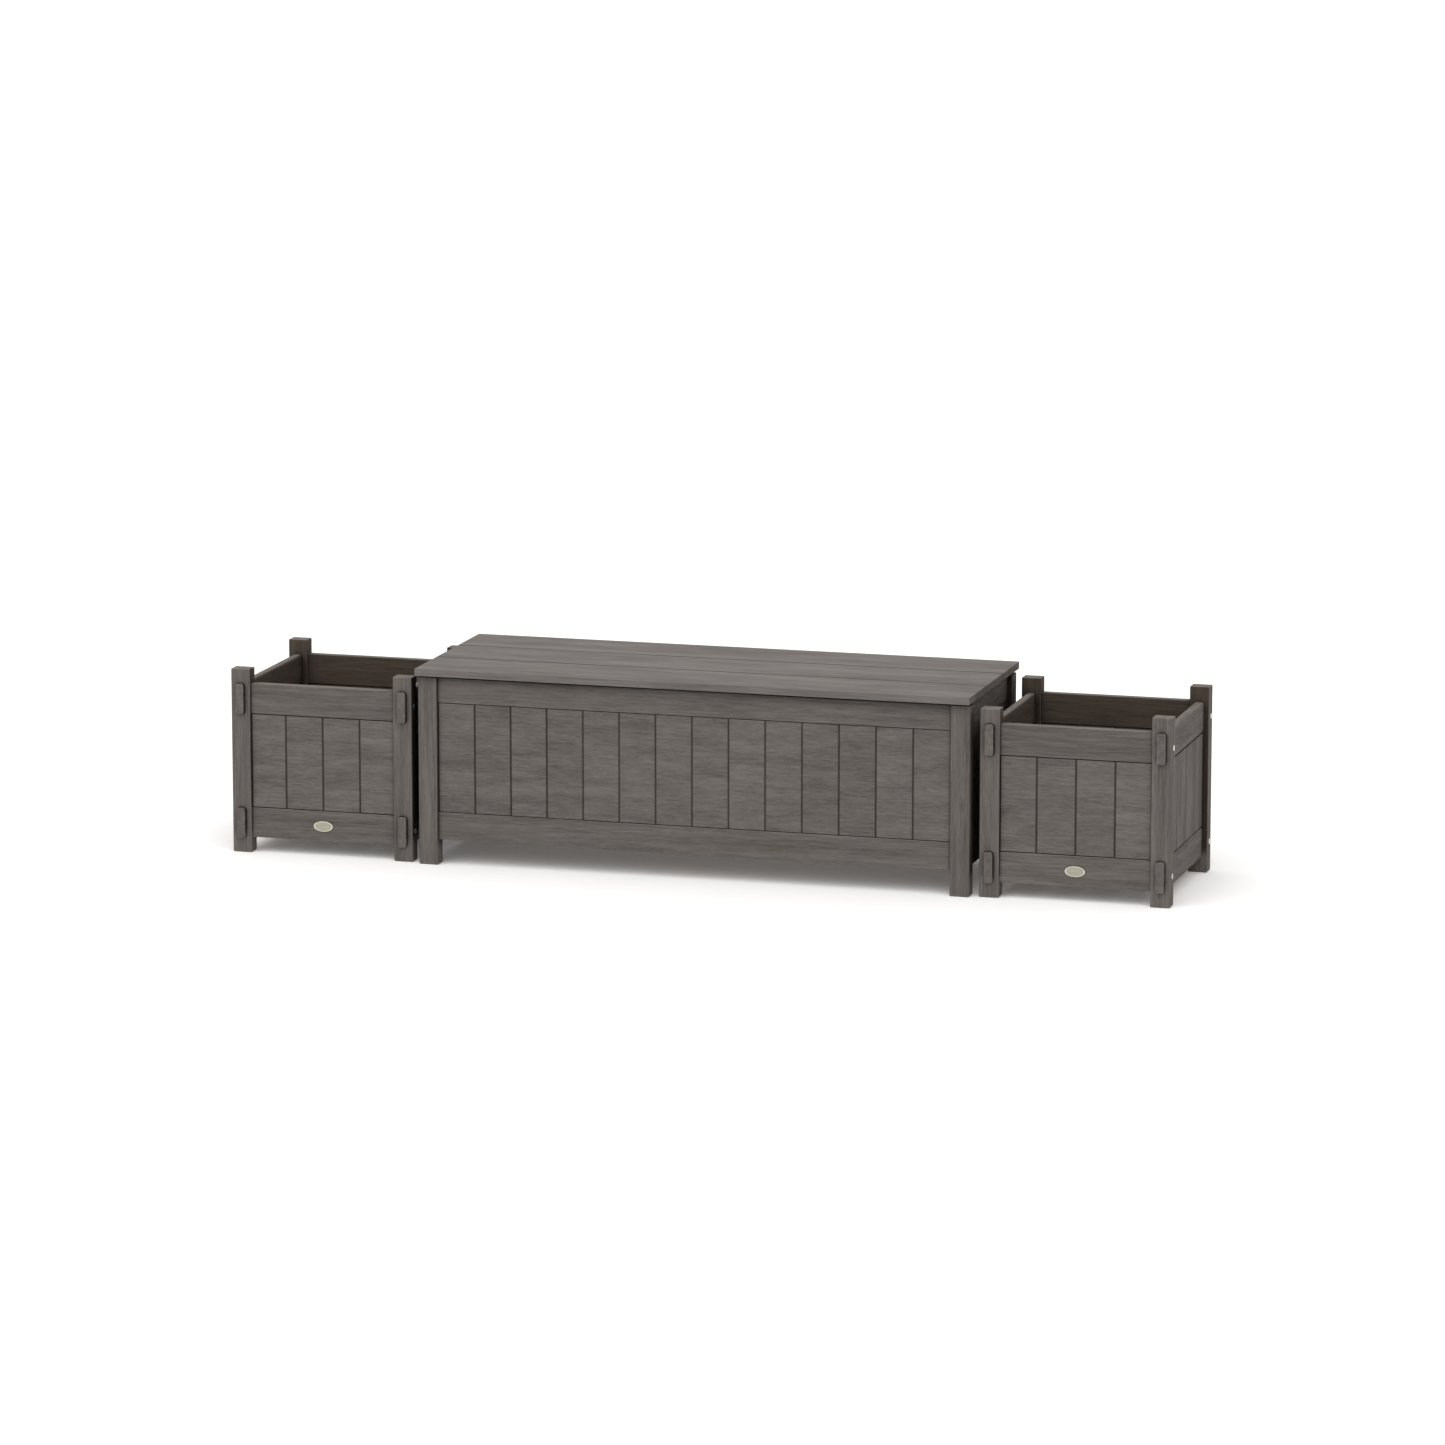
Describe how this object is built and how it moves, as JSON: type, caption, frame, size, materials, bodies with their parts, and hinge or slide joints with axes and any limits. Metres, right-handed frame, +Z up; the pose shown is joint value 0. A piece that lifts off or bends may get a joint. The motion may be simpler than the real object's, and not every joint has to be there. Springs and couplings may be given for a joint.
{
  "type": "storage bench with planters",
  "caption": "Low timber storage bench with a rear-hinged plank lid between two square, open-topped planters with upright boards and through-tenoned side rails.",
  "frame": {"origin": "on the floor, below the middle of the bench", "axes": "+X along the bench from the left planter to the right one, +Y from front to back, +Z up"},
  "size_m": [2.2084, 0.469, 0.457],
  "materials": {
    "post_timber": "stained timber, grain along the post, matt",
    "rail_timber": "stained timber, grain along the rail, matt",
    "board_timber": "stained timber, matt",
    "lid_timber": "stained timber, weathered lighter, matt",
    "inner_timber": "plain timber, darker, matt",
    "bolt_steel": "zinc plated, satin",
    "hinge_steel": "zinc plated, satin",
    "plaque_metal": "pale champagne metal, satin",
    "bumper_rubber": "black, matt"
  },
  "bodies": {
    "bench": {"bench_back_boards": "board_timber", "bench_back_bottom_rail": "rail_timber", "bench_back_left_leg": "post_timber", "bench_back_right_leg": "post_timber", "bench_back_top_rail": "rail_timber", "bench_bolts": "bolt_steel", "bench_floor_boards": "inner_timber", "bench_floor_cleats": "inner_timber", "bench_front_boards": "board_timber", "bench_front_bottom_rail": "rail_timber", "bench_front_left_leg": "post_timber", "bench_front_right_leg": "post_timber", "bench_front_top_rail": "rail_timber", "bench_left_boards": "board_timber", "bench_left_bottom_rail": "rail_timber", "bench_left_top_rail": "rail_timber", "bench_right_boards": "board_timber", "bench_right_bottom_rail": "rail_timber", "bench_right_top_rail": "rail_timber", "hinge_frame_leaves": "hinge_steel", "hinge_pins": "hinge_steel", "lid_bumpers": "bumper_rubber"},
    "lid": {"hinge_lid_leaves": "hinge_steel", "lid_back_plank": "lid_timber", "lid_battens": "inner_timber", "lid_front_plank": "lid_timber", "lid_middle_plank": "lid_timber"},
    "left_planter": {"left_planter_back_boards": "board_timber", "left_planter_back_left_post": "post_timber", "left_planter_back_rails": "rail_timber", "left_planter_back_right_post": "post_timber", "left_planter_base_cleats": "inner_timber", "left_planter_base_slats": "inner_timber", "left_planter_bolts": "bolt_steel", "left_planter_front_boards": "board_timber", "left_planter_front_left_post": "post_timber", "left_planter_front_rails": "rail_timber", "left_planter_front_right_post": "post_timber", "left_planter_left_boards": "board_timber", "left_planter_left_rails": "rail_timber", "left_planter_plaque": "plaque_metal", "left_planter_right_boards": "board_timber", "left_planter_right_rails": "rail_timber"},
    "right_planter": {"right_planter_back_boards": "board_timber", "right_planter_back_left_post": "post_timber", "right_planter_back_rails": "rail_timber", "right_planter_back_right_post": "post_timber", "right_planter_base_cleats": "inner_timber", "right_planter_base_slats": "inner_timber", "right_planter_bolts": "bolt_steel", "right_planter_front_boards": "board_timber", "right_planter_front_left_post": "post_timber", "right_planter_front_rails": "rail_timber", "right_planter_front_right_post": "post_timber", "right_planter_left_boards": "board_timber", "right_planter_left_rails": "rail_timber", "right_planter_plaque": "plaque_metal", "right_planter_right_boards": "board_timber", "right_planter_right_rails": "rail_timber"}
  },
  "joints": [
    {"name": "lid_hinge", "type": "hinge", "parent": "bench", "child": "lid", "pos_m": [0, 0.2139, 0.4367], "axis": [-1, 0, 0], "range_deg": [0, 90]},
    {"name": "left_planter_slide", "type": "slide", "parent": "bench", "child": "left_planter", "axis": [-1, 0, 0], "range_m": [0, 0.15]},
    {"name": "right_planter_slide", "type": "slide", "parent": "bench", "child": "right_planter", "axis": [1, 0, 0], "range_m": [0, 0.15]}
  ]
}
